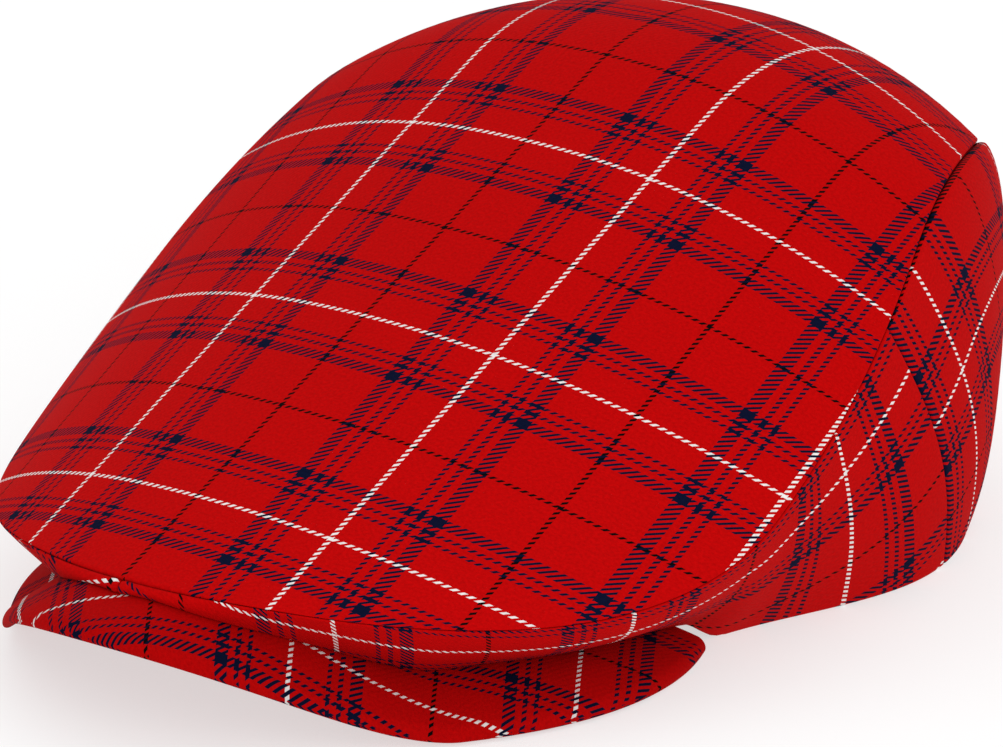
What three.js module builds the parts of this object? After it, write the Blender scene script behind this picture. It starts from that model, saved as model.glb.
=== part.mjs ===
// Flat cap in checked wool cloth: one top panel, two side panels, a back panel and a covered peak.
// Millimetres, +Z up, peak towards -Y, the wearer's left towards +X, symmetric about X = 0.
// The hem and the two lobes of the peak stand on z = 0.
import * as THREE from "three";

// Cloth and gaps
const CLOTH = 2.0; // thickness of the crown cloth with its backing
const SEAM_GAP = 0.6; // clearance left along each seam
const RED = 0xb3151a;

// The top panel is drawn in its own cloth: `along` runs from front to back, `across` from the centre line.
const PITCH = 34.8; // spacing of the cloth stations below
const OUTLINE = {
  halfWidth: 3.06, // pitches
  front: -0.88,
  back: 8.19,
  widest: 1.80,
  frontPower: 2.13,
  backPower: 2.05,
};
// The centre line climbs straight from the front and then turns over on an arc.
const CENTRE = {
  y: 40,
  z: 111.5,
  from: 4.8, // cloth station where it starts to turn over
  climb: 24, // degrees
  turn: 26, // degrees for each station
  eased: 32.6, // spacing of the stations on the climb, where the cloth is eased in
};
// How far the cloth is tilted down three pitches out from the centre, how fast that tilt builds up,
// and how far it sweeps back there.
const DRAPE_ROWS = [
  { along: -1, tilt: 40, build: 1.0, sweep: 40 },
  { along: 2, tilt: 34, build: 1.05, sweep: 27 },
  { along: 5, tilt: 38, build: 1.15, sweep: 6 },
  { along: 8, tilt: 60, build: 0.9, sweep: -11 },
];
const SWEEP_POWER = 1.90;

// Lower edge of the crown at a few station angles around the seam (0 front, 180 back).
// `bulge` is how far the wall stands out halfway down.
const LOWER_ROWS = [
  { at: 0, x: 0, y: -131, bulge: 1 },
  { at: 10, x: 17, y: -127, bulge: 1 },
  { at: 30, x: 40, y: -101, bulge: 1 },
  { at: 60, x: 66, y: -52, bulge: 4 },
  { at: 90, x: 69, y: 1, bulge: 4 },
  { at: 120, x: 83, y: 58, bulge: 5 },
  { at: 150, x: 54, y: 111, bulge: 11 },
  { at: 170, x: 19, y: 123, bulge: 11 },
  { at: 180, x: 0, y: 124, bulge: 10 },
];
const STATION = 4.5; // degrees between sections of the crown
const SIDE_BACK_SEAM = 126; // station of the seam between side and back panels
const WALL_STEPS = 7;
// Behind these stations the wall swells out close under the seam and drops straight from there.
const SHOULDER = { from: 128, full: 147, power: 0.55 };

// Peak: a crescent cut from an oval board, its inner edge on the oval of the head opening.
const PEAK = {
  y: -44.9,
  halfWidth: 81.4,
  reach: 99.7,
  pinch: 0.09, // how much the outline draws in halfway between the front and the sides
  thick: 3.8,
  end: 110, // angle of the tips around the board, from straight ahead
  settle: 30, // distance in which the slope of the peak dies away
  lift: 25, // height of the underside at the front of the rim
  lands: 60, // angle at which the rim comes down to the ground
  arch: 1.6, // how sharply the rim comes down
  climb: 0.34, // how steeply the peak climbs inward, straight ahead
  steeper: 0.32, // how much more it climbs where the rim lands
};
const OPENING = { y: 37.8, halfWidth: 75, front: 95 };

const V = (x, y, z) => new THREE.Vector3(x, y, z);
const radians = THREE.MathUtils.degToRad;

// Natural cubic spline through one column of a table, carried on past its ends.
function column(rows, key, name) {
  const n = rows.length;
  const t = rows.map((row) => row[key]);
  const v = rows.map((row) => row[name]);
  const bend = new Array(n).fill(0);
  const pivot = new Array(n).fill(0);
  for (let k = 1; k < n - 1; k += 1) {
    const left = t[k] - t[k - 1];
    const right = t[k + 1] - t[k];
    const share = left / (left + right);
    const scale = share * pivot[k - 1] + 2;
    const turn = (v[k + 1] - v[k]) / right - (v[k] - v[k - 1]) / left;
    pivot[k] = (share - 1) / scale;
    bend[k] = ((6 * turn) / (left + right) - share * bend[k - 1]) / scale;
  }
  for (let k = n - 2; k > 0; k -= 1) {
    bend[k] += pivot[k] * bend[k + 1];
  }
  return (at) => {
    let k = 0;
    while (k < n - 2 && at > t[k + 1]) {
      k += 1;
    }
    const span = t[k + 1] - t[k];
    const a = (t[k + 1] - at) / span;
    const b = (at - t[k]) / span;
    const curve = (a ** 3 - a) * bend[k] + (b ** 3 - b) * bend[k + 1];
    return a * v[k] + b * v[k + 1] + (curve * span * span) / 6;
  };
}

const hang = {
  tilt: column(DRAPE_ROWS, "along", "tilt"),
  build: column(DRAPE_ROWS, "along", "build"),
  sweep: column(DRAPE_ROWS, "along", "sweep"),
};
const lower = {
  x: column(LOWER_ROWS, "at", "x"),
  y: column(LOWER_ROWS, "at", "y"),
  bulge: column(LOWER_ROWS, "at", "bulge"),
};
const quarter = (at) => radians((90 * at) / PEAK.lands);
const peak = {
  rim: (at) => (at < PEAK.lands ? PEAK.lift * Math.cos(quarter(at)) ** PEAK.arch : 0),
  climb: (at) => PEAK.climb + PEAK.steeper * Math.sin(quarter(at)),
};

// The centre line of the crown at a cloth station.
function centreLine(along) {
  const climb = radians(CENTRE.climb);
  const past = along - CENTRE.from;
  if (past <= 0) {
    const run = past * CENTRE.eased;
    return { y: CENTRE.y + run * Math.cos(climb), z: CENTRE.z + run * Math.sin(climb) };
  }
  const radius = PITCH / radians(CENTRE.turn);
  const angle = climb - radians(CENTRE.turn * past);
  return {
    y: CENTRE.y + radius * (Math.sin(climb) - Math.sin(angle)),
    z: CENTRE.z + radius * (Math.cos(angle) - Math.cos(climb)),
  };
}

// Where a point of the flat top panel lands on the finished crown.
function drape(across, along) {
  const reach = Math.abs(across);
  const tilt = radians(hang.tilt(along));
  const build = Math.max(0.2, hang.build(along));
  const steps = 12;
  let out = 0;
  let down = 0;
  for (let k = 0; k < steps; k += 1) {
    const angle = tilt * ((reach * (k + 0.5)) / steps / 3) ** build;
    out += (Math.cos(angle) * reach * PITCH) / steps;
    down += (Math.sin(angle) * reach * PITCH) / steps;
  }
  const back = hang.sweep(along) * (reach / 3) ** SWEEP_POWER;
  const middle = centreLine(along);
  return V(Math.sign(across) * out, middle.y + back, middle.z - down);
}

// Edge of the flat top panel at a station angle (0 front, 180 back, past 180 the wearer's right).
function outline(at) {
  const s = Math.sin(radians(at));
  const c = Math.cos(radians(at));
  const length = c > 0 ? OUTLINE.widest - OUTLINE.front : OUTLINE.back - OUTLINE.widest;
  const power = c > 0 ? OUTLINE.frontPower : OUTLINE.backPower;
  const side = Math.abs(s / OUTLINE.halfWidth) ** power;
  const end = Math.abs(c / length) ** power;
  const radius = (side + end) ** (-1 / power);
  return { across: radius * s, along: OUTLINE.widest - radius * c };
}

// A point of the top panel on the way from its middle (0) to its edge (1).
function topPoint(at, part) {
  const rim = outline(at);
  return drape(rim.across * part, OUTLINE.widest + (rim.along - OUTLINE.widest) * part);
}

// Size of the board's outline at an angle, against a plain oval.
function board(at) {
  return 1 - PEAK.pinch * Math.sin(radians(2 * at)) ** 2;
}

// Upper face of the peak, carried on a little past its rim.
function peakFace(x, y) {
  const across = x / PEAK.halfWidth;
  const ahead = (PEAK.y - y) / PEAK.reach;
  const at = (Math.atan2(Math.abs(across), ahead) * 180) / Math.PI;
  const part = Math.hypot(across, ahead) / board(at);
  const inset = Math.max(0, Math.hypot(x, y - PEAK.y) * (1 / part - 1));
  const rise = peak.climb(at) * PEAK.settle * (1 - Math.exp(-inset / PEAK.settle));
  return { z: peak.rim(at) + PEAK.thick + rise, at };
}

// The crown stands on the peak in front and on the ground behind its tips.
function standing(x, y) {
  const face = peakFace(x, y);
  const left = THREE.MathUtils.smoothstep(face.at, PEAK.end + 2, PEAK.end + 9);
  return (face.z + SEAM_GAP) * (1 - left);
}

function lowerPoint(at) {
  const side = at > 180 ? -1 : 1;
  const turn = at > 180 ? 360 - at : at;
  const x = lower.x(turn);
  const y = lower.y(turn);
  return V(side * x, y, standing(x, y));
}

// Outward direction of the wall in plan at a station.
function outward(at) {
  const a = topPoint(at - 1, 1).add(lowerPoint(at <= 1 ? 0 : at - 1));
  const b = topPoint(at + 1, 1).add(lowerPoint(at + 1));
  if (at < 1) {
    return V(Math.sin(radians(at)), -Math.cos(radians(at)), 0);
  }
  return V(b.y - a.y, a.x - b.x, 0).normalize();
}

// A point of the wall between the seam (0) and the lower edge (1).
function wallPoint(at, part) {
  const turn = at > 180 ? 360 - at : at;
  const top = topPoint(turn, 1);
  const foot = lowerPoint(turn);
  const start = SEAM_GAP / top.distanceTo(foot);
  const t = start + (1 - start) * part;
  const boxy = 1 - (1 - SHOULDER.power) * THREE.MathUtils.smoothstep(turn, SHOULDER.from, SHOULDER.full);
  const swell = lower.bulge(turn) * Math.max(0, Math.sin(Math.PI * t)) ** boxy;
  const point = top.lerp(foot, t).addScaledVector(outward(turn), swell);
  return at > 180 ? V(-point.x, point.y, point.z) : point;
}

// Unit normal of a surface given as a function of two numbers.
function normalOf(surface, a, b, da, db) {
  const u = surface(a + da, b).sub(surface(a - da, b));
  const v = surface(a, b + db).sub(surface(a, b - db));
  return u.cross(v).normalize();
}

function topNormal(at, part) {
  const normal = normalOf(topPoint, at, part, 0.5, 0.01);
  return normal.z < 0 ? normal.negate() : normal;
}

function wallNormal(at, part) {
  const inside = THREE.MathUtils.clamp(part, 0.03, 0.97);
  const normal = normalOf(wallPoint, at, inside, 0.5, 0.02);
  const out = outward(at > 180 ? 360 - at : at);
  const facing = normal.x * (at > 180 ? -out.x : out.x) + normal.y * out.y;
  return facing < 0 ? normal.negate() : normal;
}

// Direction, from the seam into the cap, in which both cloths are cut where they meet.
function mitre(at) {
  const meet = topNormal(at, 0.99).add(wallNormal(at, 0.03));
  return meet.normalize().multiplyScalar(-CLOTH * 1.15);
}

// Solid lofted through closed sections. Each section lists its outer points, then its inner ones back.
function loft(name, sections, joined) {
  const points = [];
  const known = new Map();
  const faces = [];
  const index = (p) => {
    const key = [p.x, p.y, p.z].map((c) => Math.round(c * 1e3)).join(" ");
    if (!known.has(key)) {
      known.set(key, points.length / 3);
      points.push(p.x, p.y, p.z);
    }
    return known.get(key);
  };
  const face = (a, b, c) => {
    if (a !== b && b !== c && c !== a) {
      faces.push(a, b, c);
    }
  };
  const quad = (a, b, c, d) => {
    face(a, b, c);
    face(a, c, d);
  };
  const rings = sections.map((section) => section.map(index));
  const size = rings[0].length;
  const last = joined ? rings.length : rings.length - 1;
  for (let k = 0; k < last; k += 1) {
    const here = rings[k];
    const next = rings[(k + 1) % rings.length];
    for (let m = 0; m < size; m += 1) {
      const n = (m + 1) % size;
      quad(here[m], here[n], next[n], next[m]);
    }
  }
  if (!joined) {
    const tail = rings[rings.length - 1];
    for (let m = 0; m < size / 2 - 1; m += 1) {
      const n = size - 1 - m;
      quad(rings[0][m], rings[0][n], rings[0][n - 1], rings[0][m + 1]);
      quad(tail[m], tail[m + 1], tail[n - 1], tail[n]);
    }
  }
  const corner = (k) => V(points[3 * k], points[3 * k + 1], points[3 * k + 2]);
  let volume = 0;
  for (let k = 0; k < faces.length; k += 3) {
    volume += corner(faces[k]).dot(corner(faces[k + 1]).cross(corner(faces[k + 2])));
  }
  if (volume < 0) {
    faces.reverse();
  }
  const geometry = new THREE.BufferGeometry();
  geometry.setAttribute("position", new THREE.Float32BufferAttribute(points, 3));
  geometry.setIndex(faces);
  geometry.computeVertexNormals();
  const material = new THREE.MeshStandardMaterial({ color: RED, roughness: 0.9, metalness: 0 });
  const mesh = new THREE.Mesh(geometry, material);
  mesh.name = name;
  return mesh;
}

function mirrored(points) {
  return points.map((p) => V(-p.x, p.y, p.z));
}

function buildTopPanel() {
  const rings = [0, 0.12, 0.25, 0.38, 0.5, 0.61, 0.71, 0.8, 0.88, 0.95, 1];
  const spokes = [];
  for (let at = 0; at <= 180; at += STATION) {
    const outer = rings.map((part) => topPoint(at, part));
    const inner = rings.map((part, k) => {
      if (part === 0) {
        return outer[k].clone().add(V(0, 0, -CLOTH));
      }
      if (part === 1) {
        return outer[k].clone().add(mitre(at));
      }
      return outer[k].clone().addScaledVector(topNormal(at, part), -CLOTH);
    });
    spokes.push([...outer, ...inner.reverse()]);
  }
  const back = spokes.slice(1, -1).reverse().map(mirrored);
  return loft("top_panel", [...spokes, ...back], true);
}

// Section of the wall at a station: down the outside, back up the inside.
function wallSection(at) {
  const outer = [];
  const inner = [];
  for (let k = 0; k <= WALL_STEPS; k += 1) {
    const part = k / WALL_STEPS;
    const point = wallPoint(at, part);
    outer.push(point);
    if (k === 0) {
      inner.push(point.clone().add(mitre(at)));
    } else if (k === WALL_STEPS) {
      const out = outward(at > 180 ? 360 - at : at);
      const x = point.x - (at > 180 ? -out.x : out.x) * CLOTH;
      const y = point.y - out.y * CLOTH;
      inner.push(V(x, y, standing(x, y)));
    } else {
      inner.push(point.clone().addScaledVector(wallNormal(at, part), -CLOTH));
    }
  }
  return [...outer, ...inner.reverse()];
}

function buildSidePanels() {
  const stations = [0.15];
  for (let at = STATION; at < SIDE_BACK_SEAM; at += STATION) {
    stations.push(at);
  }
  stations.push(SIDE_BACK_SEAM - 0.14);
  const sections = stations.map(wallSection);
  return [
    loft("side_panel_left", sections, false),
    loft("side_panel_right", sections.map(mirrored), false),
  ];
}

function buildBackPanel() {
  const half = [SIDE_BACK_SEAM + 0.14];
  for (let at = SIDE_BACK_SEAM + STATION; at < 179; at += STATION) {
    half.push(at);
  }
  const left = half.map(wallSection);
  const right = left.slice().reverse().map(mirrored);
  return loft("back_panel", [...left, wallSection(180), ...right], false);
}

// Inner edge of the crescent as a part of the board's size, where a ray meets the oval of the opening.
function openingPart(at) {
  const s = (Math.sin(radians(at)) * board(at) * PEAK.halfWidth) / OPENING.halfWidth;
  const c = (-Math.cos(radians(at)) * board(at) * PEAK.reach) / OPENING.front;
  const shift = (PEAK.y - OPENING.y) / OPENING.front;
  const a = s * s + c * c;
  const b = shift * c;
  return (-b + Math.sqrt(b * b - a * (shift * shift - 1))) / a;
}

function peakSection(at) {
  const turn = Math.abs(at);
  const s = Math.sin(radians(turn)) * board(turn) * PEAK.halfWidth;
  const c = Math.cos(radians(turn)) * board(turn) * PEAK.reach;
  const length = Math.hypot(s, c);
  const depth = length * (1 - Math.min(openingPart(turn), 0.94));
  const round = PEAK.thick / 2;
  const insets = [0, 0.3 * round, round, 5, 0.28 * depth, 0.52 * depth, 0.76 * depth, depth];
  insets.sort((p, q) => p - q);
  const upper = [];
  const under = [];
  insets.forEach((inset) => {
    const part = 1 - inset / length;
    const x = Math.sign(at) * s * part;
    const y = PEAK.y - c * part;
    const middle = peakFace(x, y).z - PEAK.thick / 2;
    const open = Math.min(1, inset / round);
    const half = (PEAK.thick / 2) * Math.sqrt(1 - (1 - open) ** 2);
    upper.push(V(x, y, middle + half));
    under.push(V(x, y, middle - half));
  });
  return [...upper, ...under.reverse()];
}

function buildPeak() {
  const sections = [];
  const count = 44;
  for (let k = 0; k <= count; k += 1) {
    sections.push(peakSection(PEAK.end * ((2 * k) / count - 1)));
  }
  return loft("peak", sections, false);
}

const cap = new THREE.Group();
cap.name = "flat_cap";
cap.add(buildTopPanel(), ...buildSidePanels(), buildBackPanel(), buildPeak());

export default cap;
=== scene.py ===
"""Flat cap in checked wool twill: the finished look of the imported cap.

There is one operator for each group of pieces and one for the stage.
"""

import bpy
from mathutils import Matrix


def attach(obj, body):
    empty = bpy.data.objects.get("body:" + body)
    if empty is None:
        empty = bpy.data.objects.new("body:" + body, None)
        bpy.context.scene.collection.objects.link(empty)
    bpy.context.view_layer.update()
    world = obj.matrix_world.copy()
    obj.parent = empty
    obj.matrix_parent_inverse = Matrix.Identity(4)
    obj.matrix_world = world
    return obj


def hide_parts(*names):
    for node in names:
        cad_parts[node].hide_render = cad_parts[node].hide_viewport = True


bl_info = {
    "name": "Flat cap",
    "version": (1, 0, 0),
    "blender": (4, 5, 0),
    "location": "View3D > Sidebar > Flat cap",
    "description": "Builds a flat cap in checked wool twill around its packed solids",
    "category": "Object",
}

import bmesh
import bpy
import numpy as np
from bpy.props import FloatProperty, FloatVectorProperty, PointerProperty, StringProperty
from bpy.types import Operator, Panel, PropertyGroup
from mathutils import Matrix, Vector

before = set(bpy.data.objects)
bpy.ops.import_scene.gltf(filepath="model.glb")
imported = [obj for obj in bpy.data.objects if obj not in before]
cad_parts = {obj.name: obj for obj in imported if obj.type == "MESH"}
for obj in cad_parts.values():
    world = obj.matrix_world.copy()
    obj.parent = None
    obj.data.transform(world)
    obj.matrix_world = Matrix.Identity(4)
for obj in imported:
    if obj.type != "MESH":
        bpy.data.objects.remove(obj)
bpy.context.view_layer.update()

BODY = "root"
CHECK_MAP = "cloth"
MM = 0.001  # the tables below are in millimetres

# ---------------------------------------------------------------------------
# Shape of the cap, as its solids have it
# ---------------------------------------------------------------------------
PITCH = 34.8  # from one line of the check to the next
# The centre line climbs straight from the front and then turns over on an arc.
CENTRE_Y = 40.0
CENTRE_Z = 111.5
CENTRE_FROM = 4.8  # cloth station where it starts to turn over
CENTRE_CLIMB = 24.0  # degrees
CENTRE_TURN = 26.0  # degrees for each station
CENTRE_EASED = 32.6  # spacing of the stations on the climb, where the cloth is eased in
# How far the cloth is tilted down three pitches out from the centre, how fast that tilt builds up,
# and how far the cloth sweeps back there.
DRAPE_COLUMNS = ("along", "tilt", "build", "sweep")
DRAPE_ROWS = (
    (-1, 40, 1.00, 40),
    (2, 34, 1.05, 27),
    (5, 38, 1.15, 6),
    (8, 60, 0.90, -11),
)
SWEEP_POWER = 1.9
DRAPE_EDGE = 3  # pitches out from the centre line at which the table's tilt and sweep are reached
DRAPE_STEPS = 12  # short straight steps in which the cloth is laid outward
# Outline of the flat top panel, in pitches.
HALF_WIDTH = 3.06
FRONT_END = -0.88
BACK_END = 8.19
WIDEST = 1.80
FRONT_POWER = 2.13
BACK_POWER = 2.05
# Lower edge of the crown at a few stations around it, 0 in front and 180 behind, and how far the wall bulges.
LOWER_COLUMNS = ("at", "x", "y", "bulge")
LOWER_ROWS = (
    (0, 0, -131, 1),
    (10, 17, -127, 1),
    (30, 40, -101, 1),
    (60, 66, -52, 4),
    (90, 69, 1, 4),
    (120, 83, 58, 5),
    (150, 54, 111, 11),
    (170, 19, 123, 11),
    (180, 0, 124, 10),
)
# Behind these stations the wall swells out close under the seam and drops straight from there.
SHOULDER_FROM = 128.0
SHOULDER_FULL = 147.0
SHOULDER_POWER = 0.55
SIDE_BACK_SEAM = 126.0  # station of the seam between the side and back panels
# The peak: a crescent cut from an oval board, and the oval of the head opening along its inner edge.
PEAK_MIDDLE = -44.9
PEAK_HALF_WIDTH = 81.4
PEAK_REACH = 99.7
PEAK_PINCH = 0.09
PEAK_THICK = 3.8
PEAK_END = 110.0  # angle of the tips around the board, from straight ahead
TIP_FADE = (2.0, 9.0)  # degrees past the tips over which the crown comes down to the ground
PEAK_SETTLE = 30.0
OPENING_MIDDLE = 37.8
OPENING_HALF_WIDTH = 75.0
OPENING_FRONT = 95.0
PEAK_LIFT = 25.0  # height of the underside at the front of the rim
PEAK_LANDS = 60.0  # angle at which the rim comes down to the ground
PEAK_ARCH = 1.6  # how sharply the rim comes down
PEAK_CLIMB = 0.34  # how steeply the peak climbs inward, straight ahead
PEAK_STEEPER = 0.32  # how much more it climbs where the rim lands

TOP_START = 1.0
# It starts this far round and down, and in front, up to a station, the panel is cut lower into the
# check.
SIDE_START = (-0.45, 0.6)
SIDE_FRONT_DROP = 0.7
SIDE_FRONT_END = 60.0
RIGHT_EASE = (0.4, -0.3)  # the right panel was cut a little round and up from the left one, in front
RIGHT_EASE_END = 60.0
# Back panel: the same, from the seam at its left end.
BACK_START = (0.5, 0.0)
# Peak: the check lies turned on the board, seen from above. It starts this far across and along, on the
# centre line at the place given last.
PEAK_CHECK_TURN = 34.0  # degrees
PEAK_CHECK_PITCH = 31.0  # in plan, where the slope of the peak makes it look closer
PEAK_CHECK_START = (0.3, -0.15)
PEAK_CHECK_FROM = -100.0


# ---------------------------------------------------------------------------
# How finely the pieces are drawn
# ---------------------------------------------------------------------------
# Normals are read from points this far to each side, and not nearer than this to a panel's edge.
NORMAL_TURN = 0.5  # degrees
NORMAL_TOP_STEP = 0.01
NORMAL_WALL_STEP = 0.02
NORMAL_INSET = 0.03
SEAM_PART = 0.99  # where on the way out the top panel's face is read for its seam
PACE_TURN = 0.5  # degrees to each side over which the wall's length for each degree is measured
MERGE = 1e-6  # metres within which points are joined into one
FLAT_EDGE = 1e-7  # metres below which an edge is taken out
# Distances from a folded edge at which its roll is drawn, in radii of the fold.
ROLL_PLACES = (2.6, 1.7, 1.1, 0.8, 0.55, 0.33, 0.16, 0.05, 0)
FOLD_REACH = 3  # radii from the edge over which the lining side turns with the fold
FOLD_THICK = 1.12  # thickness of the folded edge, by the cloth's
TOP_TURN = 1.5  # degrees between sections of the top panel
TOP_RINGS = 56
TOP_CENTRE = 1e-5  # part of the way out at which the innermost ring starts
TOP_SPAN = 0.02  # outermost part of a section, from which its length is measured
TOP_MARGIN = 1.2  # millimetres left plain before the fold
WALL_TURN = 1.4  # degrees between sections of the wall
WALL_RINGS = 34
WALL_FOLD_ROOM = 0.42  # most of the wall's height that one folded edge may take
HEM_FOLD = 0.8  # radius of the hem's fold, by the seam's
HEM_INNER = 0.7  # how far the inside follows the hem's fold
HEM_LIFT = 0.6  # millimetres by which the inside clears the peak
HEM_LIFT_END = 6.0  # millimetres above the hem where it clears it in full
PEAK_SECTIONS = 221
PEAK_RIM_RINGS = 9
PEAK_RINGS = 40
PEAK_DEEPEST = 0.94  # largest part of the board that the opening may take


def column(names, rows, name):
    """Natural cubic spline through one column of a table, carried on past its ends."""
    table = np.array(rows, float)
    at = table[:, 0]
    value = table[:, names.index(name)]
    count = len(at)
    gap = np.diff(at)
    system = np.eye(count)
    right = np.zeros(count)
    for k in range(1, count - 1):
        system[k, k - 1 : k + 2] = gap[k - 1], 2 * (gap[k - 1] + gap[k]), gap[k]
        right[k] = 6 * ((value[k + 1] - value[k]) / gap[k] - (value[k] - value[k - 1]) / gap[k - 1])
    bend = np.linalg.solve(system, right)

    def read(x):
        x = np.asarray(x, float)
        k = np.clip(np.searchsorted(at, x) - 1, 0, count - 2)
        span = at[k + 1] - at[k]
        a = (at[k + 1] - x) / span
        b = (x - at[k]) / span
        curve = (a**3 - a) * bend[k] + (b**3 - b) * bend[k + 1]
        return a * value[k] + b * value[k + 1] + curve * span * span / 6

    return read


def columns(names, rows):
    return {name: column(names, rows, name) for name in names[1:]}


DRAPE = columns(DRAPE_COLUMNS, DRAPE_ROWS)
LOWER = columns(LOWER_COLUMNS, LOWER_ROWS)


def points(x, y, z):
    return np.stack(np.broadcast_arrays(x, y, z), -1).astype(float)


def unit(v):
    return v / np.maximum(np.linalg.norm(v, axis=-1, keepdims=True), 1e-9)


def smoothstep(x, low, high):
    t = np.clip((x - low) / (high - low), 0, 1)
    return t * t * (3 - 2 * t)


# ---------------------------------------------------------------------------
# Surfaces
# ---------------------------------------------------------------------------
def centre_line(along):
    """The centre line of the crown at a cloth station: how far back, and how high."""
    climb = np.radians(CENTRE_CLIMB)
    past = along - CENTRE_FROM
    run = np.minimum(past, 0) * CENTRE_EASED
    radius = PITCH / np.radians(CENTRE_TURN)
    angle = climb - np.radians(CENTRE_TURN * np.maximum(past, 0))
    back = CENTRE_Y + run * np.cos(climb) + radius * (np.sin(climb) - np.sin(angle))
    height = CENTRE_Z + run * np.sin(climb) + radius * (np.cos(angle) - np.cos(climb))
    return back, height


def drape(across, along):
    """Where a point of the flat top panel lands on the finished crown."""
    reach = np.abs(across)
    tilt = np.radians(DRAPE["tilt"](along))
    build = DRAPE["build"](along)
    out = 0.0
    down = 0.0
    for k in range(DRAPE_STEPS):
        halfway = reach * (k + 0.5) / DRAPE_STEPS
        angle = tilt * (halfway / DRAPE_EDGE) ** build
        out = out + np.cos(angle) * reach * PITCH / DRAPE_STEPS
        down = down + np.sin(angle) * reach * PITCH / DRAPE_STEPS
    swept = DRAPE["sweep"](along) * (reach / DRAPE_EDGE) ** SWEEP_POWER
    back, height = centre_line(along)
    return points(np.sign(across) * out, back + swept, height - down)


def cloth_point(at, part):
    """Across and along the flat top panel: at a station, on the way from its middle (0) to its edge (1)."""
    s = np.sin(np.radians(at))
    c = np.cos(np.radians(at))
    length = np.where(c > 0, WIDEST - FRONT_END, BACK_END - WIDEST)
    power = np.where(c > 0, FRONT_POWER, BACK_POWER)
    radius = (np.abs(s / HALF_WIDTH) ** power + np.abs(c / length) ** power) ** (-1 / power)
    return radius * s * part, WIDEST - radius * c * part


def top_point(at, part):
    return drape(*cloth_point(at, part))


def board(at):
    return 1 - PEAK_PINCH * np.sin(np.radians(2 * at)) ** 2


def peak_face(x, y):
    """Height of the peak's upper face, and the angle around its board."""
    across = x / PEAK_HALF_WIDTH
    ahead = (PEAK_MIDDLE - y) / PEAK_REACH
    at = np.degrees(np.arctan2(np.abs(across), ahead))
    part = np.maximum(np.hypot(across, ahead) / board(at), 1e-6)
    inset = np.maximum(0, np.hypot(x, y - PEAK_MIDDLE) * (1 / part - 1))
    quarter = np.radians(90 * at / PEAK_LANDS)
    climb = PEAK_CLIMB + PEAK_STEEPER * np.sin(quarter)
    rise = climb * PEAK_SETTLE * (1 - np.exp(-inset / PEAK_SETTLE))
    rim = np.where(at < PEAK_LANDS, PEAK_LIFT * np.maximum(np.cos(quarter), 0) ** PEAK_ARCH, 0)
    return rim + PEAK_THICK + rise, at


def standing(x, y, gap):
    """Height at which the crown stands: on the peak in front, on the ground behind its tips."""
    height, at = peak_face(x, y)
    return (height + gap) * (1 - smoothstep(at, PEAK_END + TIP_FADE[0], PEAK_END + TIP_FADE[1]))


def lower_point(at, gap):
    x = LOWER["x"](at)
    y = LOWER["y"](at)
    return points(x, y, standing(x, y, gap))


def outward(at):
    """Outward direction of the wall in plan at a station."""
    before = top_point(at - 1, 1) + lower_point(np.maximum(at - 1, 0), 0)
    after = top_point(at + 1, 1) + lower_point(at + 1, 0)
    along = after - before
    out = points(along[..., 1], -along[..., 0], 0 * along[..., 0])
    front = points(np.sin(np.radians(at)), -np.cos(np.radians(at)), 0 * at)
    return unit(np.where((at < 1)[..., None], front, out))


def wall_point(at, part, gap):
    """A point of the wall between the top seam (0) and its lower edge (1), on the wearer's left."""
    top = top_point(at, 1)
    foot = lower_point(at, gap)
    start = gap / np.linalg.norm(top - foot, axis=-1)
    t = start + (1 - start) * part
    boxy = 1 - (1 - SHOULDER_POWER) * smoothstep(at, SHOULDER_FROM, SHOULDER_FULL)
    swell = LOWER["bulge"](at) * np.maximum(np.sin(np.pi * t), 0) ** boxy
    return top * (1 - t)[..., None] + foot * t[..., None] + outward(at) * swell[..., None]


def facing(surface, a, b, da, db, ahead):
    """Unit normal of a surface of two numbers, on the side that `ahead` points to."""
    along = surface(a + da, b) - surface(a - da, b)
    across = surface(a, b + db) - surface(a, b - db)
    normal = unit(np.cross(along, across))
    side = np.sign((normal * ahead).sum(-1, keepdims=True))
    return normal * np.where(side == 0, 1, side)


def top_normal(at, part):
    inside = np.maximum(part, NORMAL_INSET)
    return facing(top_point, at, inside, NORMAL_TURN, NORMAL_TOP_STEP, np.array((0, 0, 1.0)))


def wall_normal(at, part, gap):
    inside = np.clip(part, NORMAL_INSET, 1 - NORMAL_INSET)
    return facing(lambda a, b: wall_point(a, b, gap), at, inside, NORMAL_TURN, NORMAL_WALL_STEP, outward(at))


def on_left(at):
    """The station on the wearer's left that mirrors this one."""
    return np.where(at > 180, 360 - at, at)


def side_signs(at):
    """Signs that carry a point of the wearer's left to the side that a station is on."""
    return np.where(at > 180, -1.0, 1.0)[..., None] * np.array((1.0, 0, 0)) + np.array((0, 1.0, 1.0))


def seam_inward(at, gap):
    """Direction in which both cloths turn in where the top panel meets the wall."""
    turn = on_left(at)
    wall = wall_normal(turn, np.full_like(turn, NORMAL_INSET), gap) * side_signs(at)
    return -unit(top_normal(at, np.full_like(at, SEAM_PART)) + wall)


def roll(distance, radius):
    """How far a folded edge of this radius has dropped below the cloth's face."""
    d = np.clip(distance, 0, radius)
    return radius - np.sqrt(np.maximum(radius**2 - (radius - d) ** 2, 0))


def top_check(across, along):
    """The top panel's check is true to its own cloth."""
    return np.stack([across, along + TOP_START], -1)


def seam_length(at):
    """Length of the top seam from the middle of the front to a station, in pitches of the check."""
    stations = np.linspace(0, 180, 361)
    steps = np.linalg.norm(np.diff(top_point(stations, 1), axis=0), axis=-1)
    return np.interp(at, stations, np.concatenate([[0], np.cumsum(steps)]) / PITCH)


def wall_depth(at):
    """Length of the wall from the seam to its lower edge, in pitches of the check."""
    return np.linalg.norm(top_point(at, 1) - lower_point(at, 0), axis=-1) / PITCH


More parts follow.
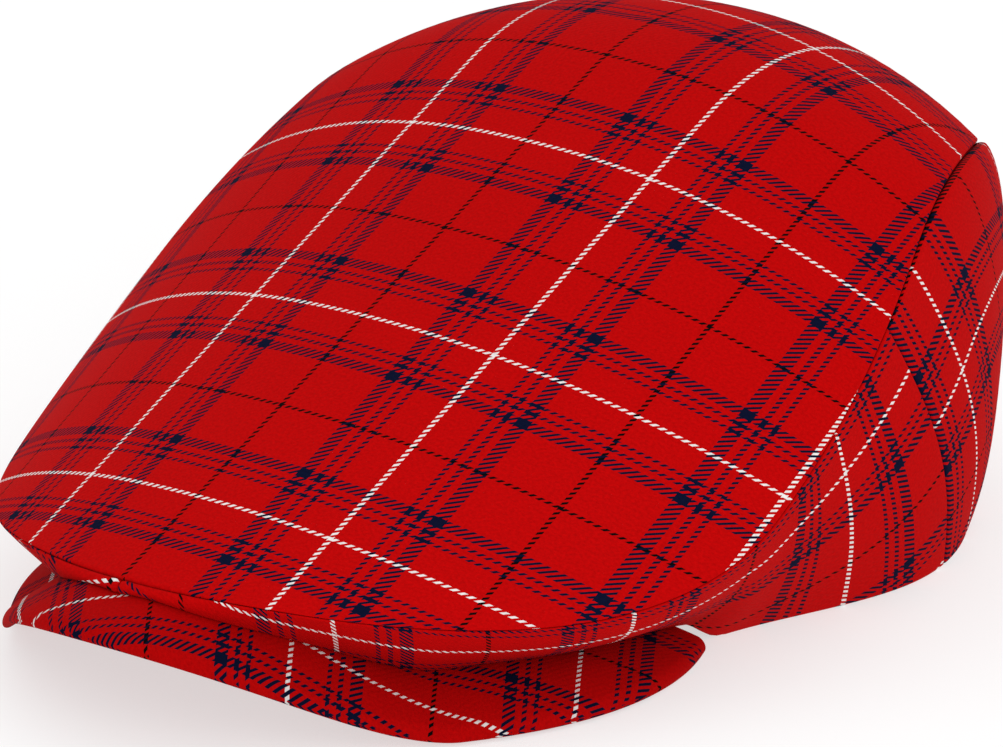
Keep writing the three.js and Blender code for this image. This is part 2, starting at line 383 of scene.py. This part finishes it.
def side_check(at, part):
    """Round the wearer's left side panel, by the length of its seam, and down it by its depth."""
    front = np.maximum(0, 1 - at / SIDE_FRONT_END) ** 2
    round_ = SIDE_START[0] + seam_length(at)
    down = SIDE_START[1] + SIDE_FRONT_DROP * front + wall_depth(at) * part
    return np.stack(np.broadcast_arrays(round_, down), -1)


def back_check(at, part):
    """The same on the back panel, carried on past the middle of the back."""
    turn = on_left(at)
    half = seam_length(180) - seam_length(SIDE_BACK_SEAM)
    before = seam_length(turn) - seam_length(SIDE_BACK_SEAM)
    round_ = BACK_START[0] + np.where(at > 180, 2 * half - before, before)
    down = BACK_START[1] + wall_depth(turn) * part
    return np.stack(np.broadcast_arrays(round_, down), -1)


def peak_check(x, y):
    """The peak's check, turned on its board as seen from above."""
    turn = np.radians(PEAK_CHECK_TURN)
    left = x / PEAK_CHECK_PITCH
    back = (y - PEAK_CHECK_FROM) / PEAK_CHECK_PITCH
    across = PEAK_CHECK_START[0] + left * np.cos(turn) + back * np.sin(turn)
    along = PEAK_CHECK_START[1] - left * np.sin(turn) + back * np.cos(turn)
    return np.stack([across, along], -1)


# ---------------------------------------------------------------------------
# Meshes
# ---------------------------------------------------------------------------
def shell(name, outer, inner, check, ring):
    """Closed cloth shell from two grids of points, joined round its edges. `ring` closes its first axis."""
    rows, count = outer.shape[:2]
    size = rows * count
    index = np.arange(size).reshape(rows, count)
    last = rows if ring else rows - 1
    here = index[np.arange(last)]
    next_ = index[(np.arange(last) + 1) % rows]
    face = np.stack([here[:, :-1], here[:, 1:], next_[:, 1:], next_[:, :-1]], -1).reshape(-1, 4)
    faces = [face, face[:, ::-1] + size]
    rims = [(here[:, -1], next_[:, -1])]
    if not ring:
        rims += [(next_[:, 0], here[:, 0]), (index[-1, :-1], index[-1, 1:]), (index[0, 1:], index[0, :-1])]
    for a, b in rims:
        faces.append(np.stack([b, a, a + size, b + size], -1))
    verts = np.concatenate([outer.reshape(-1, 3), inner.reshape(-1, 3)]) * MM
    uv = np.concatenate([check.reshape(-1, 2)] * 2)
    return mesh_object(name, verts, np.concatenate(faces), uv)


def mesh_object(name, verts, faces, uv):
    """Object of one closed mesh with its check map. It raises if the mesh is open."""
    mesh = bpy.data.meshes.new(name)
    mesh.from_pydata(verts.tolist(), [], faces.tolist())
    layer = mesh.uv_layers.new(name=CHECK_MAP)
    loops = np.empty(len(mesh.loops), np.int32)
    mesh.loops.foreach_get("vertex_index", loops)
    layer.data.foreach_set("uv", uv[loops].astype(np.float32).ravel())
    bm = bmesh.new()
    bm.from_mesh(mesh)
    bmesh.ops.remove_doubles(bm, verts=bm.verts, dist=MERGE)
    bmesh.ops.dissolve_degenerate(bm, edges=bm.edges, dist=FLAT_EDGE)
    if bm.calc_volume(signed=True) < 0:
        bmesh.ops.reverse_faces(bm, faces=bm.faces)
    open_edges = sum(1 for e in bm.edges if not e.is_manifold)
    if open_edges:
        raise RuntimeError(f"{name} has {open_edges} open edges")
    bm.to_mesh(mesh)
    bm.free()
    mesh.polygons.foreach_set("use_smooth", np.ones(len(mesh.polygons), bool))
    mesh.update()
    obj = bpy.data.objects.new(name, mesh)
    bpy.context.scene.collection.objects.link(obj)
    return obj


def finish_piece(obj, node, material):
    obj.data.materials.append(material)
    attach(obj, BODY)
    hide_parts(node)


def edge_steps(radius):
    """Distances from a folded edge at which its roll is drawn, the edge itself last."""
    return radius * np.array(ROLL_PLACES)


def build_top_panel(sizes):
    cloth, gap, radius = sizes.cloth / MM, sizes.seam_gap / MM, sizes.fold / MM
    at = np.arange(0, 360, TOP_TURN)
    length = np.linalg.norm(top_point(at, 1.0) - top_point(at, 1 - TOP_SPAN), axis=-1) / TOP_SPAN
    steps = edge_steps(radius)
    inner_part = 1 - (steps[0] + TOP_MARGIN) / length
    share = np.linspace(0, 1, TOP_RINGS)[1:]
    part = np.concatenate([share[None] * inner_part[:, None], 1 - steps[None] / length[:, None]], 1)
    part = np.concatenate([np.full((len(at), 1), TOP_CENTRE), part], 1)
    at = np.repeat(at[:, None], part.shape[1], 1)
    distance = (1 - part) * length[:, None]
    face = top_point(at, part)
    normal = top_normal(at, part)
    normal[:, 0] = normal[:, 1].mean(0)
    face[:, 0] = face[:, 0].mean(0)
    inward = seam_inward(at[:, 0], gap)[:, None, :]
    outer = face + inward * roll(distance, radius)[..., None]
    near = smoothstep(distance, 0, FOLD_REACH * radius)[..., None]
    inner = face + (-normal * near + inward * FOLD_THICK * (1 - near)) * cloth
    check = top_check(*cloth_point(at, part))
    return shell("top_panel_cloth", outer, inner, check, True)


def wall_grid(first, last, sizes):
    """Stations and parts of a wall from one vertical seam to the other, close together at its edges."""
    gap, radius = sizes.seam_gap / MM, sizes.fold / MM
    here = np.array((first, last), float)
    turn = on_left(here)
    halfway = np.full(2, 0.5)
    before = wall_point(turn - PACE_TURN, halfway, gap)
    after = wall_point(turn + PACE_TURN, halfway, gap)
    pace = np.linalg.norm(after - before, axis=-1) / (2 * PACE_TURN)
    steps = edge_steps(radius) + gap / 2
    start = first + steps[::-1] / pace[0]
    end = last - steps / pace[1]
    between = np.linspace(start[-1], end[0], int((end[0] - start[-1]) / WALL_TURN))[1:-1]
    at = np.concatenate([start, between, end])
    to_end = np.minimum((at - first) * pace[0], (last - at) * pace[1]) - gap / 2
    turn = on_left(at)
    height = np.linalg.norm(top_point(turn, 1.0) - lower_point(turn, gap), axis=-1)
    share = np.linspace(0, 1, WALL_RINGS)[1:-1]
    low = edge_steps(radius * HEM_FOLD)
    room = np.minimum(1, WALL_FOLD_ROOM * height / (steps[0] + gap))
    top = (edge_steps(radius)[::-1][None] * room[:, None]) / height[:, None]
    bottom = 1 - (low[None] * room[:, None]) / height[:, None]
    middle = top[:, -1:] + (bottom[:, :1] - top[:, -1:]) * share[None]
    part = np.concatenate([top, middle, bottom], 1)
    at = np.repeat(at[:, None], part.shape[1], 1)
    return at, part, height[:, None], to_end[:, None]


def build_wall(name, first, last, sizes, check, mirror=False):
    cloth, gap, radius = sizes.cloth / MM, sizes.seam_gap / MM, sizes.fold / MM
    at, part, height, to_end = wall_grid(first, last, sizes)
    turn = on_left(at)
    face = wall_point(turn, part, gap)
    normal = wall_normal(turn, part, gap)
    inward = seam_inward(turn[:, 0], gap)[:, None, :]
    out = outward(turn)
    to_top = part * height
    to_low = (1 - part) * height
    folded = roll(to_low, radius * HEM_FOLD)[..., None]
    outer = face + inward * roll(to_top, radius)[..., None]
    outer = outer - normal * roll(to_end, radius)[..., None] - out * folded
    near = smoothstep(to_top, 0, FOLD_REACH * radius)[..., None]
    inner = face + (-normal * near + inward * FOLD_THICK * (1 - near)) * cloth
    inner = inner + out * folded * HEM_INNER
    floor = standing(inner[..., 0], inner[..., 1], gap)
    lift = HEM_LIFT * smoothstep(to_low, 0, HEM_LIFT_END)
    inner[..., 2] = np.maximum(inner[..., 2], floor + lift)
    inner[:, -1, 2] = floor[:, -1]
    outer[..., 2] = np.maximum(outer[..., 2], standing(outer[..., 0], outer[..., 1], gap))
    flip = np.array((-1.0, 1.0, 1.0)) if mirror else side_signs(at)
    return shell(name, outer * flip, inner * flip, check(at, part), False)


def right_check(at, part):
    """The side panel's check mirrored, and eased in front."""
    ease = np.clip(1 - at / RIGHT_EASE_END, 0, 1)[..., None] * np.array(RIGHT_EASE)
    return (side_check(at, part) + ease) * np.array((-1.0, 1.0))


def opening_part(at):
    """Where a ray from the middle of the board meets the oval of the opening, as a part of the board."""
    s = np.sin(np.radians(at)) * board(at) * PEAK_HALF_WIDTH / OPENING_HALF_WIDTH
    c = -np.cos(np.radians(at)) * board(at) * PEAK_REACH / OPENING_FRONT
    shift = (PEAK_MIDDLE - OPENING_MIDDLE) / OPENING_FRONT
    a = s * s + c * c
    b = shift * c
    return (-b + np.sqrt(b * b - a * (shift * shift - 1))) / a


def build_peak(sizes):
    """The covered board: its two faces run into each other round the rim."""
    at = np.linspace(-PEAK_END, PEAK_END, PEAK_SECTIONS)
    turn = np.abs(at)[:, None]
    s = np.sin(np.radians(at))[:, None] * board(turn) * PEAK_HALF_WIDTH
    c = np.cos(np.radians(turn)) * board(turn) * PEAK_REACH
    length = np.hypot(s, c)
    depth = length * (1 - np.minimum(opening_part(turn), PEAK_DEEPEST))
    half = PEAK_THICK / 2
    curve = half * (1 - np.cos(np.linspace(0, np.pi / 2, PEAK_RIM_RINGS)))[None]
    rest = half + (depth - half) * np.linspace(0, 1, PEAK_RINGS)[None, 1:]
    inset = np.concatenate([np.repeat(curve, len(at), 0), rest], 1)
    part = 1 - inset / length
    x = s * part
    y = PEAK_MIDDLE - c * part
    middle = peak_face(x, y)[0] - half
    open_ = np.clip(inset / half, 0, 1)
    thick = half * np.sqrt(np.maximum(1 - (1 - open_) ** 2, 0))
    upper = points(x, y, middle + thick)
    under = points(x, y, middle - thick)
    turned = half * (1 - np.arcsin(1 - open_))
    cloth_part = 1 - np.where(inset < half, turned, inset) / length
    check = peak_check(s * cloth_part, PEAK_MIDDLE - c * cloth_part)
    return shell("peak_covered", upper, under, check, False)


# ---------------------------------------------------------------------------
# Material
# ---------------------------------------------------------------------------
def linear(hex_colour):
    """An sRGB hex colour as the linear colour that shaders take."""
    parts = [int(hex_colour[k : k + 2], 16) / 255 for k in (1, 3, 5)]
    return tuple(p / 12.92 if p <= 0.04045 else ((p + 0.055) / 1.055) ** 2.4 for p in parts) + (1.0,)


def add(tree, kind, settings=None, **links):
    """Adds a node with its settings. A link or value is given by socket name, or by _ and its number."""
    node = tree.nodes.new(kind)
    for key, value in (settings or {}).items():
        setattr(node, key, value)
    for key, value in links.items():
        socket = node.inputs[int(key[1:]) if key[1:].isdigit() else key.replace("_", " ")]
        if isinstance(value, bpy.types.NodeSocket):
            tree.links.new(value, socket)
        else:
            socket.default_value = value
    return node


# Twill: the ridges change over between the two yarns in this narrow part of a rib.
RIB_CHANGE = (0.235, 0.265)
# Flecks in the milled face: the part of the noise that is used, and how dark and bright it makes the cloth.
FLECK_RANGE = (0.25, 0.75)
FLECK_DARK = 0.80
FLECK_BRIGHT = 1.16
FLECK_HEIGHT = 0.6  # height of a fleck, by a rib's
RELIEF_DEPTH = 0.0003  # metres
WOOL_ROUGHNESS = 0.92
WOOL_GLOSS = 0.03
WOOL_SHEEN = 0.003

# Parts of the way from a white line (0) to the next black one (1), and the yarn woven from there on.
SETT = (
    (0.0, "white"),
    (0.014, "red"),
    (0.258, "navy"),
    (0.292, "red"),
    (0.338, "navy"),
    (0.372, "red"),
    (0.420, "navy"),
    (0.508, "red"),
    (0.982, "black"),
)


def yarn_at(tree, place, colours):
    """The yarn's colour at a place in the sett, counted in pitches."""
    fold = add(tree, "ShaderNodeMath", {"operation": "PINGPONG"}, _0=place, _1=1.0).outputs[0]
    way = add(tree, "ShaderNodeMath", {"operation": "SUBTRACT"}, _0=1.0, _1=fold).outputs[0]
    ramp = add(tree, "ShaderNodeValToRGB", None, Fac=way)
    ramp.color_ramp.interpolation = "CONSTANT"
    stops = ramp.color_ramp.elements
    for k, (start, yarn) in enumerate(SETT):
        stop = stops[k] if k < 2 else stops.new(start)
        stop.position = start
        stop.color = colours[yarn]
    return ramp.outputs["Color"]


def wool_twill(cloth, name="checked_wool_twill", depth=1.0):
    """Milled wool in a 2/2 twill: fine diagonal ribs, a soft matt face and no gloss. `depth` darkens it all
    over as painted shade.
    """
    material = bpy.data.materials.get(name)
    if material:
        return material
    material = bpy.data.materials.new(name)
    material.use_nodes = True
    tree = material.node_tree
    tree.nodes.clear()
    colours = {
        "red": linear(cloth.red),
        "navy": linear(cloth.navy),
        "black": linear(cloth.black),
        "white": linear(cloth.white),
    }
    ribs = PITCH * MM / cloth.rib
    check = add(tree, "ShaderNodeUVMap", {"uv_map": CHECK_MAP}).outputs["UV"]
    split = add(tree, "ShaderNodeSeparateXYZ", None, Vector=check)
    across, along = split.outputs["X"], split.outputs["Y"]
    # The ribs run slantwise over the check, so a line one yarn wide comes out dashed.
    slant = add(tree, "ShaderNodeMath", {"operation": "SUBTRACT"}, _0=across, _1=along).outputs[0]
    count = add(tree, "ShaderNodeMath", {"operation": "MULTIPLY"}, _0=slant, _1=ribs).outputs[0]
    ridge = add(tree, "ShaderNodeMath", {"operation": "PINGPONG"}, _0=count, _1=0.5).outputs[0]
    over = add(
        tree,
        "ShaderNodeMapRange",
        {"interpolation_type": "SMOOTHSTEP"},
        Value=ridge,
        From_Min=RIB_CHANGE[0],
        From_Max=RIB_CHANGE[1],
    ).outputs[0]
    warp = yarn_at(tree, across, colours)
    weft = yarn_at(tree, along, colours)
    woven = add(tree, "ShaderNodeMix", {"data_type": "RGBA"}, _0=over)
    tree.links.new(warp, woven.inputs[6])
    tree.links.new(weft, woven.inputs[7])
    # Single threads are too fine to show one by one, so coarser flecks stand for them.
    threads = add(tree, "ShaderNodeVectorMath", {"operation": "SCALE"}, Vector=check)
    threads.inputs["Scale"].default_value = PITCH * MM / cloth.thread
    fleck = add(
        tree, "ShaderNodeTexNoise", None, Vector=threads.outputs[0], Scale=1.0, Detail=2.0, Roughness=0.7
    ).outputs["Fac"]
    # The flecks' range is scaled by `depth`, so a copy made with less than 1 is darker all over: painted
    # shade, used on the peak.
    fleck_and_painted_shade = add(
        tree,
        "ShaderNodeMapRange",
        None,
        Value=fleck,
        From_Min=FLECK_RANGE[0],
        From_Max=FLECK_RANGE[1],
        To_Min=FLECK_DARK * depth,
        To_Max=FLECK_BRIGHT * depth,
    ).outputs[0]
    grey = add(tree, "ShaderNodeCombineColor", None, Red=fleck_and_painted_shade, Green=fleck_and_painted_shade, Blue=fleck_and_painted_shade).outputs[0]
    flecked_and_shaded = add(tree, "ShaderNodeMix", {"data_type": "RGBA", "blend_type": "MULTIPLY"}, _0=1.0)
    tree.links.new(woven.outputs[2], flecked_and_shaded.inputs[6])
    tree.links.new(grey, flecked_and_shaded.inputs[7])
    height = add(
        tree, "ShaderNodeMath", {"operation": "MULTIPLY_ADD"}, _0=fleck, _1=FLECK_HEIGHT, _2=ridge
    ).outputs[0]
    bump = add(
        tree, "ShaderNodeBump", None, Height=height, Strength=cloth.relief, Distance=RELIEF_DEPTH
    ).outputs[0]
    shader = add(
        tree,
        "ShaderNodeBsdfPrincipled",
        None,
        Base_Color=flecked_and_shaded.outputs[2],
        Roughness=WOOL_ROUGHNESS,
        IOR=1.45,
        Normal=bump,
    )
    shader.inputs["Specular IOR Level"].default_value = WOOL_GLOSS
    shader.inputs["Sheen Weight"].default_value = WOOL_SHEEN
    shader.inputs["Sheen Roughness"].default_value = 0.5
    output = add(tree, "ShaderNodeOutputMaterial")
    tree.links.new(shader.outputs[0], output.inputs["Surface"])
    return material


def light_table(name, hex_colour, glow):
    """Matt opal sheet lit a little from below: a plain pale ground with faint shadows."""
    material = bpy.data.materials.new(name)
    material.use_nodes = True
    shader = material.node_tree.nodes["Principled BSDF"]
    shader.inputs["Base Color"].default_value = linear(hex_colour)
    shader.inputs["Roughness"].default_value = 0.9
    shader.inputs["Specular IOR Level"].default_value = 0.0
    shader.inputs["Emission Color"].default_value = (1.0, 1.0, 1.0, 1.0)
    shader.inputs["Emission Strength"].default_value = glow
    return material


# ---------------------------------------------------------------------------
# Settings
# ---------------------------------------------------------------------------
class CapSizes(PropertyGroup):
    cloth: FloatProperty(
        name="Cloth", description="Thickness of a panel with its backing", default=0.0018, unit="LENGTH"
    )
    seam_gap: FloatProperty(
        name="Seam gap", description="Clearance between panels at a seam", default=0.00012, unit="LENGTH"
    )
    fold: FloatProperty(
        name="Fold",
        description="Radius with which the cloth turns into a seam",
        default=0.0010,
        unit="LENGTH",
    )


class CapCloth(PropertyGroup):
    red: StringProperty(name="Red", description="Ground colour of the check, sRGB hex", default="#B20405")
    navy: StringProperty(name="Navy", description="Colour of the grouped bars, sRGB hex", default="#090F28")
    black: StringProperty(
        name="Black", description="Colour of the dark single line, sRGB hex", default="#080608"
    )
    white: StringProperty(
        name="White", description="Colour of the pale single line, sRGB hex", default="#E0DCDA"
    )
    rib: FloatProperty(
        name="Rib", description="Spacing of the twill ribs along one yarn", default=0.00185, unit="LENGTH"
    )
    thread: FloatProperty(
        name="Thread", description="Spacing at which single threads are drawn", default=0.0008, unit="LENGTH"
    )
    # Painted shade: the peak's copy of the cloth is made darker to stand for the shade under the crown.
    painted_peak_shade: FloatProperty(
        name="Painted peak shade",
        description="Brightness of the peak's cloth, darkened as painted shade under the crown",
        default=0.80,
        subtype="FACTOR",
    )
    relief: FloatProperty(
        name="Relief", description="Strength of the weave's relief", default=0.25, subtype="FACTOR"
    )


class CapStage(PropertyGroup):
    azimuth: FloatProperty(
        name="Azimuth",
        description="Camera angle from straight in front towards the wearer's left",
        default=np.radians(38.0),
        subtype="ANGLE",
    )
    elevation: FloatProperty(
        name="Elevation",
        description="Camera angle above the floor",
        default=np.radians(19.0),
        subtype="ANGLE",
    )
    distance: FloatProperty(
        name="Distance", description="From the camera to the cap", default=2.35, unit="LENGTH"
    )
    lens: FloatProperty(
        name="Lens", description="Focal length on a 36 mm wide sensor", default=367.0, unit="CAMERA"
    )
    target: FloatVectorProperty(
        name="Target",
        description="Point the camera looks at",
        default=(0.004, 0.002, 0.049),
        subtype="TRANSLATION",
        unit="LENGTH",
    )
    sky: FloatProperty(name="Sky", description="Strength of the light from all around", default=0.98)
    key: FloatProperty(
        name="Key", description="Power of the large lamp at the side", default=7.0, unit="POWER"
    )
    key_place: FloatVectorProperty(
        name="Key place", description="Where the lamp stands", default=(1.35, -0.95, 0.8), unit="LENGTH"
    )
    glow: FloatProperty(name="Glow", description="Light that the floor gives off itself", default=0.6)
    floor: StringProperty(name="Floor", description="Colour of the floor, sRGB hex", default="#ABABAB")


# Stage, in metres
FLOOR_HALF = 3.0
LAMP_SIZE = 1.2
CLIP_END = 20
SENSOR_WIDTH = 36  # millimetres


# ---------------------------------------------------------------------------
# Operators
# ---------------------------------------------------------------------------
class CAP_OT_top_panel(Operator):
    """Drape the top panel over the crown"""

    bl_idname = "cap.top_panel"
    bl_label = "Top panel"

    def execute(self, context):
        scene = context.scene
        finish_piece(build_top_panel(scene.cap_sizes), "top_panel", wool_twill(scene.cap_cloth))
        return {"FINISHED"}


class CAP_OT_side_panels(Operator):
    """Sew in the two side panels, from the centre front seam to the back panel"""

    bl_idname = "cap.side_panels"
    bl_label = "Side panels"

    def execute(self, context):
        sizes, material = context.scene.cap_sizes, wool_twill(context.scene.cap_cloth)
        left = build_wall("side_panel_left_cloth", 0.0, SIDE_BACK_SEAM, sizes, side_check)
        right = build_wall("side_panel_right_cloth", 0.0, SIDE_BACK_SEAM, sizes, right_check, mirror=True)
        finish_piece(left, "side_panel_left", material)
        finish_piece(right, "side_panel_right", material)
        return {"FINISHED"}


class CAP_OT_back_panel(Operator):
    """Sew in the back panel"""

    bl_idname = "cap.back_panel"
    bl_label = "Back panel"

    def execute(self, context):
        sizes, material = context.scene.cap_sizes, wool_twill(context.scene.cap_cloth)
        back = build_wall("back_panel_cloth", SIDE_BACK_SEAM, 360 - SIDE_BACK_SEAM, sizes, back_check)
        finish_piece(back, "back_panel", material)
        return {"FINISHED"}


class CAP_OT_peak(Operator):
    """Cover the peak's board in the same cloth, darkened as painted shade under the crown"""

    bl_idname = "cap.peak"
    bl_label = "Peak"

    def execute(self, context):
        scene = context.scene
        cloth = scene.cap_cloth
        # The peak gets a darker copy of the cloth: painted shade under the crown.
        painted_peak_shade = wool_twill(cloth, "checked_wool_painted_shade", cloth.painted_peak_shade)
        finish_piece(build_peak(scene.cap_sizes), "peak", painted_peak_shade)
        return {"FINISHED"}


class CAP_OT_stage(Operator):
    """Set the floor, the soft light and the camera"""

    bl_idname = "cap.stage"
    bl_label = "Stage"

    def execute(self, context):
        scene = context.scene
        stage = scene.cap_stage
        mesh = bpy.data.meshes.new("floor")
        corners = [(x * FLOOR_HALF, y * FLOOR_HALF, 0) for x, y in ((-1, -1), (1, -1), (1, 1), (-1, 1))]
        mesh.from_pydata(corners, [], [(0, 1, 2, 3)])
        floor = bpy.data.objects.new("floor", mesh)
        floor.data.materials.append(light_table("opal_floor", stage.floor, stage.glow))
        scene.collection.objects.link(floor)

        world = bpy.data.worlds.new("studio")
        world.use_nodes = True
        world.node_tree.nodes["Background"].inputs["Color"].default_value = (1, 1, 1, 1)
        world.node_tree.nodes["Background"].inputs["Strength"].default_value = stage.sky
        scene.world = world
        scene.view_settings.view_transform = "Standard"

        lamp = bpy.data.lights.new("key", "AREA")
        lamp.shape = "DISK"
        lamp.size = LAMP_SIZE
        lamp.energy = stage.key
        key = bpy.data.objects.new("key", lamp)
        scene.collection.objects.link(key)
        place = Vector(stage.key_place)
        key.matrix_world = Matrix.Translation(place) @ (-place).to_track_quat("-Z", "Y").to_matrix().to_4x4()

        azimuth, elevation = stage.azimuth, stage.elevation
        away = Vector(
            (
                np.sin(azimuth) * np.cos(elevation),
                -np.cos(azimuth) * np.cos(elevation),
                np.sin(elevation),
            )
        )
        camera_data = bpy.data.cameras.new("camera")
        camera_data.lens = stage.lens
        camera_data.sensor_width = SENSOR_WIDTH
        camera_data.clip_end = CLIP_END
        camera = bpy.data.objects.new("camera", camera_data)
        scene.collection.objects.link(camera)
        place = Vector(stage.target) + away * stage.distance
        turn = (-away).to_track_quat("-Z", "Y").to_matrix().to_4x4()
        camera.matrix_world = Matrix.Translation(place) @ turn
        scene.camera = camera
        return {"FINISHED"}


STEPS = (CAP_OT_stage, CAP_OT_top_panel, CAP_OT_side_panels, CAP_OT_back_panel, CAP_OT_peak)


class CAP_PT_build(Panel):
    bl_idname = "CAP_PT_build"
    bl_label = "Flat cap"
    bl_space_type = "VIEW_3D"
    bl_region_type = "UI"
    bl_category = "Flat cap"

    def draw(self, context):
        for step in STEPS:
            self.layout.operator(step.bl_idname)
        for group in (context.scene.cap_sizes, context.scene.cap_cloth, context.scene.cap_stage):
            box = self.layout.box()
            for name in group.__annotations__:
                box.prop(group, name)


CLASSES = (CapSizes, CapCloth, CapStage) + STEPS + (CAP_PT_build,)


def register():
    for cls in CLASSES:
        bpy.utils.register_class(cls)
    bpy.types.Scene.cap_sizes = PointerProperty(type=CapSizes)
    bpy.types.Scene.cap_cloth = PointerProperty(type=CapCloth)
    bpy.types.Scene.cap_stage = PointerProperty(type=CapStage)


def unregister():
    del bpy.types.Scene.cap_stage
    del bpy.types.Scene.cap_cloth
    del bpy.types.Scene.cap_sizes
    for cls in reversed(CLASSES):
        bpy.utils.unregister_class(cls)


def main():
    register()
    bpy.ops.cap.stage()
    bpy.ops.cap.top_panel()
    bpy.ops.cap.side_panels()
    bpy.ops.cap.back_panel()
    bpy.ops.cap.peak()


if __name__ == "__main__":
    main()
